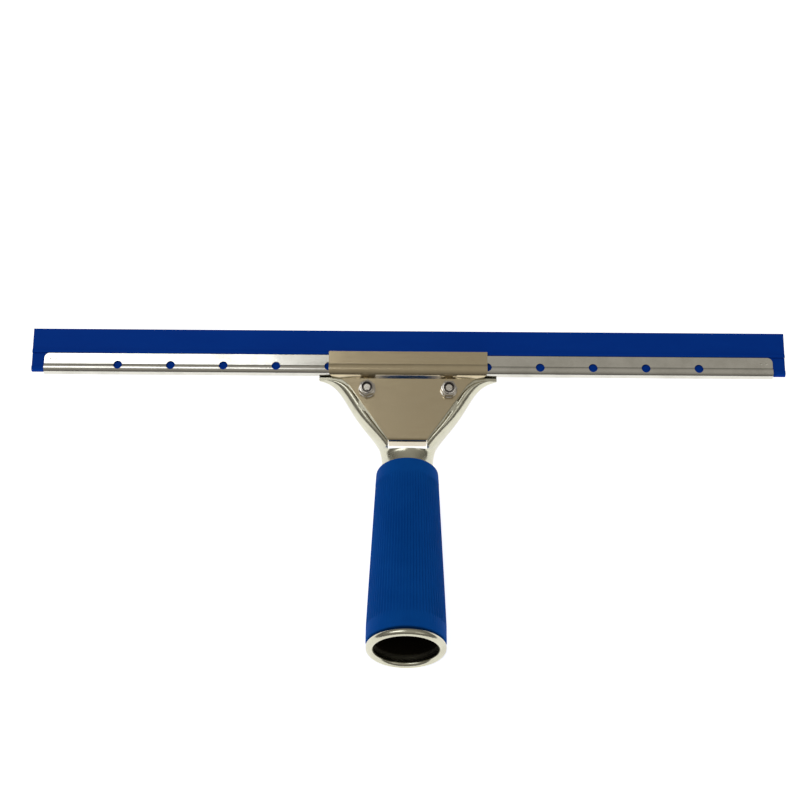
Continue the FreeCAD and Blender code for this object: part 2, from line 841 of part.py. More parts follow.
def make_nut(side_name, side, turn):
    """A locking nut: a hexagon with its corners turned to a cone, and a thin collar round the nylon insert."""
    body = new_body("clamp_nut_" + side_name)
    half = named("nut_width") / 2
    corner = half / cosine(Size(30.0, "30"))
    height = named("nut_hexagon_height")
    hexagon = sketch_on(body, "hexagon", "XY_Plane")
    angles = [turn + step * 60 for step in range(6)]
    draw_outline(hexagon, [(corner * cosine(angle), corner * sine(angle)) for angle in angles])
    draw_circle(hexagon, 0.0, 0.0, named("screw_radius") + named("nut_clearance"))
    pad(body, "nut_pad", hexagon, height)
    crown = sketch_on(body, "crown", "XZ_Plane")
    beyond = corner - half + NUT_MARGIN
    for end, inward in ((height, -1), (as_size(0.0), 1)):
        draw_outline(crown, [
            (half, end),
            (half + beyond, end + beyond * CROWN_SLOPE * inward),
            (half + beyond, end),
        ])
    groove = body.newObject("PartDesign::Groove", "corners")
    groove.Profile = crown
    groove.ReferenceAxis = (crown, ["V_Axis"])
    groove.Angle = 360
    doc.recompute()
    outer = named("collar_radius")
    inner = outer - named("collar_wall")
    rounding = named("collar_round")
    top = named("nut_height")
    lip_foot = top - named("collar_lip")
    lip_radius = outer - rounding
    collar = sketch_on(body, "collar_section", "XZ_Plane")
    draw_outline(collar, [
        (inner, height),
        (outer, height),
        (outer, top - rounding, rounding, 1),
        (lip_radius, top),
        (lip_radius, lip_foot),
        (inner, lip_foot),
    ])
    revolve(body, "collar_turn", collar)
    place_in_head(body, screw_half * side, -screw_drop, jaw_sheet + named("washer_height"))
    return body


def make_insert(side_name, side):
    """The nylon ring that the nut's collar holds."""
    body = new_body("nut_insert_" + side_name)
    gap = named("insert_clearance")
    foot = named("nut_hexagon_height")
    ring = sketch_on(body, "insert_ring", "XY_Plane", foot)
    draw_circle(ring, 0.0, 0.0, named("collar_radius") - named("collar_wall") - gap)
    draw_circle(ring, 0.0, 0.0, named("screw_radius") + gap)
    pad(body, "insert_pad", ring, named("nut_height") - named("collar_lip") - gap - foot)
    place_in_head(body, screw_half * side, -screw_drop, jaw_sheet + named("washer_height"))
    return body


# ---------------------------------------------------------------- build, check and write

pieces = [make_handle_frame(), make_grip(), make_jaw_plate(), make_channel(), make_rubber()]
for side_name, side, nut_turn in (("left", -1, named("left_nut_turn")), ("right", 1, as_size(0.0))):
    pieces.append(make_screw(side_name, side))
    pieces.append(make_washer(side_name, side))
    pieces.append(make_nut(side_name, side, nut_turn))
    pieces.append(make_insert(side_name, side))
doc.recompute()

for thing in doc.Objects:
    for state in thing.State:
        if state in ("Invalid", "Error"):
            raise ValueError("%s is %s" % (thing.Label, state))
os.makedirs("parts", exist_ok=True)
for piece in pieces:
    shape = piece.Shape
    if shape.isNull() or not shape.isValid() or len(shape.Solids) != 1:
        raise ValueError("%s is not one valid solid" % piece.Label)
    print("%-20s %9.1f mm3" % (piece.Label, shape.Volume))
for piece in pieces:
    piece.Shape.exportStep("parts/%s.step" % piece.Label)
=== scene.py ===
"""Window cleaning squeegee: its finishes, ribbed grip, threaded clamp fasteners, studio and camera.

Everything is in metres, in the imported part's own frame: the origin is the centre of the pole socket's mouth,
+Y runs along the handle to the head, +X along the blade and +Z out of the side with the nuts.
"""

import json
import logging
import math
from dataclasses import dataclass, field
from enum import Enum
from typing import Callable

import bmesh
import bpy
from mathutils import Matrix, Vector

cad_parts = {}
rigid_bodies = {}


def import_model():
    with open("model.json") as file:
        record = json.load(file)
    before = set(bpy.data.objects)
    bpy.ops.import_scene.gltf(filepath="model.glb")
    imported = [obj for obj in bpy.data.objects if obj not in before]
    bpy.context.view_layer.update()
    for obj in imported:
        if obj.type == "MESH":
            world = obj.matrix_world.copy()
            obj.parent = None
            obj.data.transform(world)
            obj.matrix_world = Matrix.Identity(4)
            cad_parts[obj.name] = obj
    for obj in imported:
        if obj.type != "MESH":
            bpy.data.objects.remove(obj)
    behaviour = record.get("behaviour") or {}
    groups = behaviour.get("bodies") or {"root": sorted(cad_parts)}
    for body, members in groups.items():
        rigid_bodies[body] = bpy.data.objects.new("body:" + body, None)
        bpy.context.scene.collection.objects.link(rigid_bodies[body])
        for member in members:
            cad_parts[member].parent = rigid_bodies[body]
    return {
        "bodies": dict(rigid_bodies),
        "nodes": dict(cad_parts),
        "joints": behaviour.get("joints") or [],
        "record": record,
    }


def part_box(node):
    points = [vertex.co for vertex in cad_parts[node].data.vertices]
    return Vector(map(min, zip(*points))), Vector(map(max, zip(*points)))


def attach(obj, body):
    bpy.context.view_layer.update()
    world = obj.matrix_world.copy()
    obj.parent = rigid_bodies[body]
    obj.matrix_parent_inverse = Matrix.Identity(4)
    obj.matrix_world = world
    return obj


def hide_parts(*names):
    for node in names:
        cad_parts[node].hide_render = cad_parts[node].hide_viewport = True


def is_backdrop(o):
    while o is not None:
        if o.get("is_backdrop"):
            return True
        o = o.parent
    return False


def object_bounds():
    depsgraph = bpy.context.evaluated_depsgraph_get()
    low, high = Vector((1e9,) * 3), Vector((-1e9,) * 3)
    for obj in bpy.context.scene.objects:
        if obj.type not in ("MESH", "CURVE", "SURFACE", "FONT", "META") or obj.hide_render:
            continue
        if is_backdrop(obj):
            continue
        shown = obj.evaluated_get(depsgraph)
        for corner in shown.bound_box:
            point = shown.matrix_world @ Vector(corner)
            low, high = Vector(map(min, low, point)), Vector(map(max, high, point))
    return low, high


MM = 0.001
NO_TURN = (0.0, 0.0, 0.0)
log = logging.getLogger("squeegee")


# ---------------------------------------------------------------- hand operations

class Part(Enum):
    """The kind of mesh element that is selected."""

    VERTEX = "VERT"
    EDGE = "EDGE"
    FACE = "FACE"


class Bench:
    """The hand operations that every piece is modelled with."""

    @staticmethod
    def deselect() -> None:
        """Leave edit mode and deselect every object."""
        if bpy.context.object is not None and bpy.context.object.mode != "OBJECT":
            bpy.ops.object.mode_set(mode="OBJECT")
        bpy.ops.object.select_all(action="DESELECT")

    @staticmethod
    def take(piece: bpy.types.Object) -> None:
        """Make one piece the only selected and active object."""
        Bench.deselect()
        piece.select_set(True)
        bpy.context.view_layer.objects.active = piece

    @staticmethod
    def edit() -> None:
        """Open the active piece for editing."""
        bpy.ops.object.mode_set(mode="EDIT")

    @staticmethod
    def close() -> None:
        """Leave edit mode."""
        bpy.ops.object.mode_set(mode="OBJECT")

    @staticmethod
    def drum(radius: float, depth: float, sides: int, middle: float = 0.0,
             name: str = "drum") -> bpy.types.Object:
        """Add a cylinder about the Z axis.

        Args:
            radius: its radius.
            depth: its length along Z.
            sides: how many sides it has.
            middle: the height of its middle.
            name: its name.

        Returns:
            The new object, active and selected.
        """
        Bench.deselect()
        bpy.ops.mesh.primitive_cylinder_add(
            vertices=sides, radius=radius, depth=depth, location=(0, 0, middle), rotation=NO_TURN)
        piece = bpy.context.object
        piece.name = name
        bpy.ops.object.transform_apply(location=True, rotation=True, scale=True)
        return piece

    @staticmethod
    def pick(part: Part, test: Callable[[Vector], bool]) -> int:
        """Select the elements of the mesh in hand whose middle passes a test.

        Args:
            part: which kind of element is picked.
            test: told the middle of each element, says whether it is picked.

        Returns:
            How many elements were picked.
        """
        bpy.ops.mesh.select_mode(type=part.value)
        bpy.ops.mesh.select_all(action="DESELECT")
        mesh = bpy.context.object.data
        shape = bmesh.from_edit_mesh(mesh)
        found = 0
        for element in {Part.VERTEX: shape.verts, Part.EDGE: shape.edges, Part.FACE: shape.faces}[part]:
            if part is Part.VERTEX:
                middle = element.co
            elif part is Part.EDGE:
                middle = (element.verts[0].co + element.verts[1].co) / 2
            else:
                middle = element.calc_center_median()
            if test(middle):
                element.select_set(True)
                found += 1
        shape.select_flush_mode()
        bmesh.update_edit_mesh(mesh)
        return found

    @staticmethod
    def pull(offset: tuple[float, float, float]) -> None:
        """Extrude what is selected by an offset."""
        bpy.ops.mesh.extrude_region_move(TRANSFORM_OT_translate={"value": offset})

    @staticmethod
    def scale(factors: tuple[float, float, float], about: tuple[float, float, float]) -> None:
        """Scale what is selected about a point."""
        bpy.ops.transform.resize(value=factors, center_override=about)

    @staticmethod
    def boolean(piece: bpy.types.Object, tool: bpy.types.Object, kind: str) -> None:
        """Combine a piece with a tool, which is used up.

        Args:
            piece: the piece that keeps the result.
            tool: the other solid.
            kind: UNION, DIFFERENCE or INTERSECT.
        """
        Bench.take(piece)
        bpy.ops.object.modifier_add(type="BOOLEAN")
        modifier = piece.modifiers[-1]
        modifier.operation = kind
        modifier.solver = "EXACT"
        modifier.object = tool
        bpy.ops.object.modifier_apply(modifier=modifier.name)
        bpy.data.objects.remove(tool)

    @staticmethod
    def finish(piece: bpy.types.Object, place: Matrix, smooth_below: float) -> None:
        """Put a finished piece in its place in the mesh itself and smooth it.

        Args:
            piece: the piece, modelled about the world's origin.
            place: where it goes.
            smooth_below: the angle in degrees under which neighbouring faces shade as one surface.
        """
        Bench.take(piece)
        piece.matrix_world = place
        bpy.ops.object.transform_apply(location=True, rotation=True, scale=True)
        Bench.edit()
        bpy.ops.mesh.select_all(action="SELECT")
        bpy.ops.mesh.remove_doubles(threshold=1e-7)
        bpy.ops.mesh.normals_make_consistent(inside=False)
        Bench.close()
        bpy.ops.object.shade_smooth_by_angle(angle=math.radians(smooth_below))


# ---------------------------------------------------------------- finishes

class Grain(Enum):
    """Which way a sheet's fine rolling or brushing lines run, as scales along X, Y and Z."""

    ALONG_BLADE = (0.02, 1.0, 1.0)
    ALONG_HANDLE = (1.0, 0.02, 1.0)
    NONE = (1.0, 1.0, 1.0)


class Mixing:
    """Adds and joins the nodes of one material."""

    def __init__(self, name: str) -> None:
        """Start a material with only its shader and output."""
        self.material = bpy.data.materials.new(name)
        self.material.use_nodes = True
        self.tree = self.material.node_tree
        self.tree.nodes.clear()
        self.shader = self.add("ShaderNodeBsdfPrincipled")
        output = self.add("ShaderNodeOutputMaterial")
        self.join(self.shader, "BSDF", output, "Surface")
        self.place = self.add("ShaderNodeTexCoord")

    def add(self, kind: str, **settings: object) -> bpy.types.Node:
        """Add a node and set its properties.

        Args:
            kind: the node's type.
            settings: its properties by name.

        Returns:
            The new node.
        """
        node = self.tree.nodes.new(kind)
        for name, value in settings.items():
            setattr(node, name, value)
        return node

    def join(self, source: bpy.types.Node, output: str, target: bpy.types.Node, socket: str | int) -> None:
        """Link one node's output to another's input."""
        self.tree.links.new(source.outputs[output], target.inputs[socket])

    def noise(self, scale: float, stretch: tuple[float, float, float], detail: float = 3.0,
              rough: float = 0.55) -> bpy.types.Node:
        """Add a noise pattern on the piece's own coordinates.

        Args:
            scale: how many features there are to a metre.
            stretch: scales along X, Y and Z.
            detail: how many finer layers are added.
            rough: how strong the finer layers are.

        Returns:
            The noise node, whose Factor runs from 0 to 1.
        """
        mapping = self.add("ShaderNodeMapping")
        mapping.inputs["Scale"].default_value = stretch
        self.join(self.place, "Object", mapping, "Vector")
        noise = self.add("ShaderNodeTexNoise")
        noise.inputs["Scale"].default_value = scale
        noise.inputs["Detail"].default_value = detail
        noise.inputs["Roughness"].default_value = rough
        self.join(mapping, "Vector", noise, "Vector")
        return noise

    def spread(self, source: bpy.types.Node, output: str, low: float, high: float, to_low: float = 0.0,
               to_high: float = 1.0) -> bpy.types.Node:
        """Stretch a value from one range to another, held at its ends."""
        node = self.add("ShaderNodeMapRange", clamp=True)
        for socket, value in (("From Min", low), ("From Max", high), ("To Min", to_low), ("To Max", to_high)):
            node.inputs[socket].default_value = value
        self.join(source, output, node, "Value")
        return node

    def mix(self, share: bpy.types.Node, output: str, first: object, second: object) -> bpy.types.Node:
        """Mix two colours, each a tuple or a node with a Result or Color output.

        Args:
            share: the node that gives the share of the second colour.
            output: its output's name.
            first: the colour at 0.
            second: the colour at 1.

        Returns:
            The mixing node, whose third output is the colour.
        """
        node = self.add("ShaderNodeMix", data_type="RGBA", blend_type="MIX")
        self.join(share, output, node, 0)
        for index, colour in ((6, first), (7, second)):
            if isinstance(colour, tuple):
                node.inputs[index].default_value = (*colour, 1.0)
            else:
                self.tree.links.new(colour.outputs[2], node.inputs[index])
        return node

    def colour(self, node: bpy.types.Node) -> None:
        """Use a mixing node as the surface's colour."""
        self.tree.links.new(node.outputs[2], self.shader.inputs["Base Color"])

    def bump(self, height: bpy.types.Node, output: str, distance: float, strength: float,
             under: bpy.types.Node | None = None) -> bpy.types.Node:
        """Raise the surface by a height pattern, on top of an earlier bump if there is one."""
        node = self.add("ShaderNodeBump")
        node.inputs["Distance"].default_value = distance
        node.inputs["Strength"].default_value = strength
        self.join(height, output, node, "Height")
        if under is not None:
            self.join(under, "Normal", node, "Normal")
        self.join(node, "Normal", self.shader, "Normal")
        return node


@dataclass(frozen=True)
class SheetSteel:
    """Stainless sheet: fine lines one way, broad smudges and a faint uneven sheen.

    Attributes:
        name: the material's name.
        bright: colour where it is clean.
        dull: colour under smudges.
        roughness: lowest and highest roughness.
        grain: which way the lines run.
        line_width: how far apart the lines are, in metres.
        line_depth: how deep they are, in metres.
        smudge: how large a smudge is, in metres.
        anisotropy: how far highlights are drawn out across the lines.
    """

    name: str
    bright: tuple[float, float, float]
    dull: tuple[float, float, float]
    roughness: tuple[float, float]
    grain: Grain
    line_width: float = 0.00022
    line_depth: float = 0.000004
    smudge: float = 0.011
    anisotropy: float = 0.3

    def mix(self) -> Mixing:
        """Build the finish.

        Returns:
            The finished node bench, open for additions.
        """
        nodes = Mixing(self.name)
        nodes.shader.inputs["Metallic"].default_value = 1.0
        nodes.shader.inputs["Anisotropic"].default_value = self.anisotropy
        lines = nodes.noise(1.0 / self.line_width, self.grain.value, detail=4.0, rough=0.6)
        smudges = nodes.noise(1.0 / self.smudge, (1.0, 1.0, 1.0), detail=5.0, rough=0.62)
        smear = nodes.spread(smudges, "Fac", 0.42, 0.68)
        tone = nodes.mix(smear, "Result", self.bright, self.dull)
        fine = nodes.spread(lines, "Fac", 0.3, 0.7, -0.035, 0.035)
        broad = nodes.spread(smudges, "Fac", 0.35, 0.7, *self.roughness)
        total = nodes.add("ShaderNodeMath", operation="ADD")
        nodes.join(fine, "Result", total, 0)
        nodes.join(broad, "Result", total, 1)
        nodes.join(total, "Value", nodes.shader, "Roughness")
        nodes.colour(tone)
        ripple = nodes.noise(70.0, (1.0, 1.0, 1.0), detail=1.0)
        first = nodes.bump(ripple, "Fac", 0.00006, 0.35)
        nodes.bump(lines, "Fac", self.line_depth, 0.5, under=first)
        return nodes

    def material(self) -> bpy.types.Material:
        """The finish as a material."""
        return self.mix().material


@dataclass(frozen=True)
class SocketSteel(SheetSteel):
    """The frame's sheet: polished outside; inside the rolled tube it is rougher and coloured near-black as
    painted shade.

    Attributes:
        bore_radius: the tube's inner radius at its mouth.
        bore_taper: how fast that radius shrinks along the handle.
        land: how far the straight bore goes in.
        bore_shade_colour: painted shade, the near-black colour given to the tube's inside.
    """

    bore_radius: float = 14.4 * MM
    bore_taper: float = 0.0418
    land: float = 12 * MM
    bore_shade_colour: tuple[float, float, float] = (0.035, 0.028, 0.018)

    def material(self) -> bpy.types.Material:
        """The finish with painted shade and a higher roughness inside the tube."""
        nodes = self.mix()
        split = nodes.add("ShaderNodeSeparateXYZ")
        nodes.join(nodes.place, "Object", split, "Vector")
        flat = nodes.add("ShaderNodeVectorMath", operation="MULTIPLY")
        flat.inputs[1].default_value = (1.0, 0.0, 1.0)
        nodes.join(nodes.place, "Object", flat, 0)
        radius = nodes.add("ShaderNodeVectorMath", operation="LENGTH")
        nodes.join(flat, "Vector", radius, 0)
        run = nodes.add("ShaderNodeMath", operation="SUBTRACT")
        nodes.join(split, "Y", run, 0)
        run.inputs[1].default_value = self.land
        past = nodes.add("ShaderNodeMath", operation="MAXIMUM")
        nodes.join(run, "Value", past, 0)
        past.inputs[1].default_value = 0.0
        level = nodes.add("ShaderNodeMath", operation="MULTIPLY_ADD")
        nodes.join(past, "Value", level, 0)
        level.inputs[1].default_value = self.bore_taper
        nodes.join(radius, "Value", level, 2)
        fade_from, fade_to = self.bore_radius + 0.3 * MM, self.bore_radius + 0.7 * MM
        inside = nodes.spread(level, "Value", fade_from, fade_to, 1.0, 0.0)
        deep = nodes.spread(split, "Y", 0.8 * MM, 4 * MM)
        near = nodes.spread(split, "Y", 90 * MM, 92 * MM, 1.0, 0.0)
        both = nodes.add("ShaderNodeMath", operation="MULTIPLY")
        nodes.join(inside, "Result", both, 0)
        nodes.join(deep, "Result", both, 1)
        bore_shade_mask = nodes.add("ShaderNodeMath", operation="MULTIPLY")
        nodes.join(both, "Value", bore_shade_mask, 0)
        nodes.join(near, "Result", bore_shade_mask, 1)
        # Painted shade: the tube's inside is coloured near-black, and its roughness is raised.
        colour_link = nodes.shader.inputs["Base Color"].links[0].from_node
        tone = nodes.mix(bore_shade_mask, "Value", colour_link, self.bore_shade_colour)
        nodes.colour(tone)
        rough_link = nodes.shader.inputs["Roughness"].links[0].from_node
        rough = nodes.add("ShaderNodeMix", data_type="FLOAT")
        nodes.join(bore_shade_mask, "Value", rough, 0)
        nodes.join(rough_link, "Value", rough, 2)
        rough.inputs[3].default_value = 0.7
        nodes.tree.links.new(rough.outputs[0], nodes.shader.inputs["Roughness"])
        return nodes.material


@dataclass(frozen=True)
class MouldedRubber:
    """Coloured rubber with a fine moulded skin and a faint bloom.

    Attributes:
        name: the material's name.
        body: its colour.
        bloom: its colour where dust and bloom lie.
        roughness: lowest and highest roughness.
        skin: how large the skin's grain is, in metres.
        skin_depth: how deep that grain is, in metres.
        stretch: scales of the pattern along X, Y and Z.
        shine: strength of its reflections.
    """

    name: str
    body: tuple[float, float, float]
    bloom: tuple[float, float, float]
    roughness: tuple[float, float]
    skin: float = 0.0005
    skin_depth: float = 0.00001
    stretch: tuple[float, float, float] = (1.0, 1.0, 1.0)
    shine: float = 0.02

    def mix(self) -> Mixing:
        """Build the finish.

        Returns:
            The finished node bench, open for additions.
        """
        nodes = Mixing(self.name)
        nodes.shader.inputs["Specular IOR Level"].default_value = self.shine
        cloud = nodes.noise(55.0, self.stretch, detail=5.0, rough=0.6)
        share = nodes.spread(cloud, "Fac", 0.4, 0.75)
        tone = nodes.mix(share, "Result", self.body, self.bloom)
        nodes.colour(tone)
        rough = nodes.spread(cloud, "Fac", 0.35, 0.7, *self.roughness)
        nodes.join(rough, "Result", nodes.shader, "Roughness")
        skin = nodes.noise(1.0 / self.skin, (1.0, 1.0, 1.0), detail=4.0, rough=0.6)
        nodes.bump(skin, "Fac", self.skin_depth, 0.6)
        return nodes

    def material(self) -> bpy.types.Material:
        """The finish as a material."""
        return self.mix().material


@dataclass(frozen=True)
class Floor:
    """Plain pale floor paint.

    Attributes:
        name: the material's name.
        tone: its colour.
        glow: how much light it gives back on its own, which keeps shadows faint.
    """

    name: str = "floor_paint"
    tone: tuple[float, float, float] = (0.93, 0.93, 0.92)
    glow: float = 0.8

    def material(self) -> bpy.types.Material:
        """The floor's material."""
        nodes = Mixing(self.name)
        nodes.shader.inputs["Roughness"].default_value = 0.9
        nodes.shader.inputs["Specular IOR Level"].default_value = 0.1
        nodes.shader.inputs["Emission Color"].default_value = (1.0, 1.0, 1.0, 1.0)
        nodes.shader.inputs["Emission Strength"].default_value = self.glow
        cloud = nodes.noise(3.0, (1.0, 1.0, 1.0), detail=2.0)
        share = nodes.spread(cloud, "Fac", 0.3, 0.7)
        darker = tuple(value * 0.985 for value in self.tone)
        nodes.colour(nodes.mix(share, "Result", self.tone, darker))
        return nodes.material


FRAME_STEEL = SocketSteel(
    "frame_steel", (0.60, 0.59, 0.48), (0.52, 0.505, 0.405), (0.18, 0.27), Grain.ALONG_HANDLE)
JAW_STEEL = SheetSteel(
    "jaw_steel", (0.59, 0.505, 0.345), (0.55, 0.465, 0.31), (0.13, 0.19), Grain.ALONG_BLADE, anisotropy=0.0)
CHANNEL_STEEL = SheetSteel(
    "channel_steel", (0.66, 0.65, 0.60), (0.56, 0.55, 0.50), (0.14, 0.24), Grain.ALONG_BLADE)
FASTENER_STEEL = SheetSteel(
    "fastener_steel", (0.66, 0.63, 0.58), (0.50, 0.47, 0.42), (0.18, 0.30), Grain.NONE,
    line_width=0.0003, line_depth=0.000003, smudge=0.002, anisotropy=0.0)
INSERT_NYLON = MouldedRubber(
    "insert_nylon", (0.030, 0.022, 0.024), (0.045, 0.036, 0.038), (0.40, 0.52), skin=0.0003, shine=0.4)
BLADE_RUBBER = MouldedRubber(
    "blade_rubber", (0.0020, 0.048, 0.385), (0.0030, 0.058, 0.43), (0.42, 0.56), stretch=(0.3, 1.0, 1.0))
GRIP_RUBBER = MouldedRubber(
    "grip_rubber", (0.0020, 0.080, 0.40), (0.0040, 0.096, 0.45), (0.55, 0.72), skin=0.0004)


# ---------------------------------------------------------------- ribbed grip

@dataclass
class RibbedGrip:
    """The moulded sleeve on the tube: plain bands at both ends and fine ribs between them.

    Attributes:
        ribs: how many ribs go round.
        steps: how many points each rib takes.
        rib_depth: how deep the grooves are.
        wall: the sleeve's wall.
        end_radius: outer radius at the head end.
        mouth_round: rounding of the outer edge at the mouth.
        shoulder: rounding of the outer edge at the head end.
        land: how far the tube is straight from the mouth.
        mouth_band: plain band at the mouth.
        head_band: plain band at the head end.
        run_out: how long a groove takes to reach its depth.
        groove: depth of each point across a rib, as a share of the full depth.
        start: where the sleeve starts along the handle.
        end: where it ends.
        mouth_radius: outer radius at the mouth.
        radius: radius of the ring being extruded.
        level: where that ring is along the handle.
    """

    ribs: int = 76
    steps: int = 6
    rib_depth: float = 0.42 * MM
    wall: float = 2.25 * MM
    end_radius: float = 14.6 * MM
    mouth_round: float = 0.5 * MM
    shoulder: float = 1.8 * MM
    land: float = 12 * MM
    mouth_band: float = 7.0 * MM
    head_band: float = 7.5 * MM
    run_out: float = 1.2 * MM
    groove: tuple[float, ...] = (0.0, 0.0, 0.0, 0.7, 1.0, 0.7)
    start: float = field(init=False, default=0.0)
    end: float = field(init=False, default=0.0)
    mouth_radius: float = field(init=False, default=0.0)
    radius: float = field(init=False, default=0.0)
    level: float = field(init=False, default=0.0)

    def build(self) -> bpy.types.Object:
        """Model the sleeve in place.

        Returns:
            The sleeve.
        """
        low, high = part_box("grip_sleeve")
        self.start, self.end, self.mouth_radius = low.y, high.y, high.x
        Bench.deselect()
        bpy.ops.mesh.primitive_circle_add(
            vertices=self.ribs * self.steps, radius=self.mouth_radius - self.wall,
            location=(0, self.start, 0), rotation=(math.pi / 2, 0, 0))
        grip = bpy.context.object
        grip.name = "ribbed_grip"
        bpy.ops.object.transform_apply(location=True, rotation=True, scale=True)
        Bench.edit()
        bpy.ops.mesh.select_all(action="SELECT")
        self.radius, self.level = self.mouth_radius - self.wall, self.start
        for turn in (0.0, 0.5, 1.0):
            self.ring(self.start + self.mouth_round * (1 - math.cos(turn * math.pi / 2)),
                      self.mouth_radius - self.mouth_round * (1 - math.sin(turn * math.pi / 2)))
        self.ring(self.start + self.mouth_band)
        self.ring(self.start + self.mouth_band + self.run_out)
        self.press(1)
        first = self.start + self.mouth_band + self.run_out
        ribbed = self.end - self.head_band - self.run_out
        for share in (0.25, 0.5, 0.75, 1.0):
            self.ring(first + (ribbed - first) * share)
        self.ring(ribbed + self.run_out)
        self.press(-1)
        for turn in (0.0, 0.2, 0.4, 0.6, 0.8, 1.0):
            self.ring(self.end - self.shoulder * (1 - math.sin(turn * math.pi / 2)),
                      self.end_radius - self.shoulder * (1 - math.cos(turn * math.pi / 2)))
        inner_end = self.end_radius - self.wall
        self.ring(self.end, inner_end)
        self.ring(self.start + self.land, self.mouth_radius - self.wall)
        self.ring(self.start, self.mouth_radius - self.wall)
        Bench.close()
        Bench.finish(grip, Matrix.Identity(4), 50.0)
        return grip

    def outer(self, level: float) -> float:
        """The sleeve's outer radius at a level: straight over the land, then tapering."""
        share = max(0.0, (level - self.land) / (self.end - self.land))
        return self.mouth_radius + (self.end_radius - self.mouth_radius) * share

    def ring(self, level: float, radius: float | None = None) -> None:
        """Extrude the open ring to a new level and scale it to a new radius.

        Args:
            level: distance from the mouth along the handle.
            radius: outer radius there, or None for the sleeve's own taper.
        """
        radius = self.outer(level) if radius is None else radius
        Bench.pull((0.0, level - self.level, 0.0))
        factor = radius / self.radius
        Bench.scale((factor, 1.0, factor), (0.0, level, 0.0))
        self.radius, self.level = radius, level

    def press(self, way: int) -> None:
        """Press the grooves into the open ring, or back out of it.

        Args:
            way: 1 to press in and -1 to press back out.
        """
        ring_level, ring_radius = self.level, self.radius
        full = self.ribs * self.steps
        for depth in sorted(set(self.groove) - {0.0}):
            factor = 1 - depth * self.rib_depth / ring_radius

            def in_groove(point: Vector) -> bool:
                index = round(math.atan2(point.z, point.x) / (2 * math.pi) * full) % self.steps
                return abs(point.y - ring_level) < 1e-6 and self.groove[index] == depth

            Bench.pick(Part.VERTEX, in_groove)
            factor = factor if way > 0 else 1 / factor
            Bench.scale((factor, 1.0, factor), (0.0, ring_level, 0.0))
        Bench.pick(Part.EDGE, lambda point: abs(point.y - ring_level) < 1e-6)


# ---------------------------------------------------------------- clamp fasteners

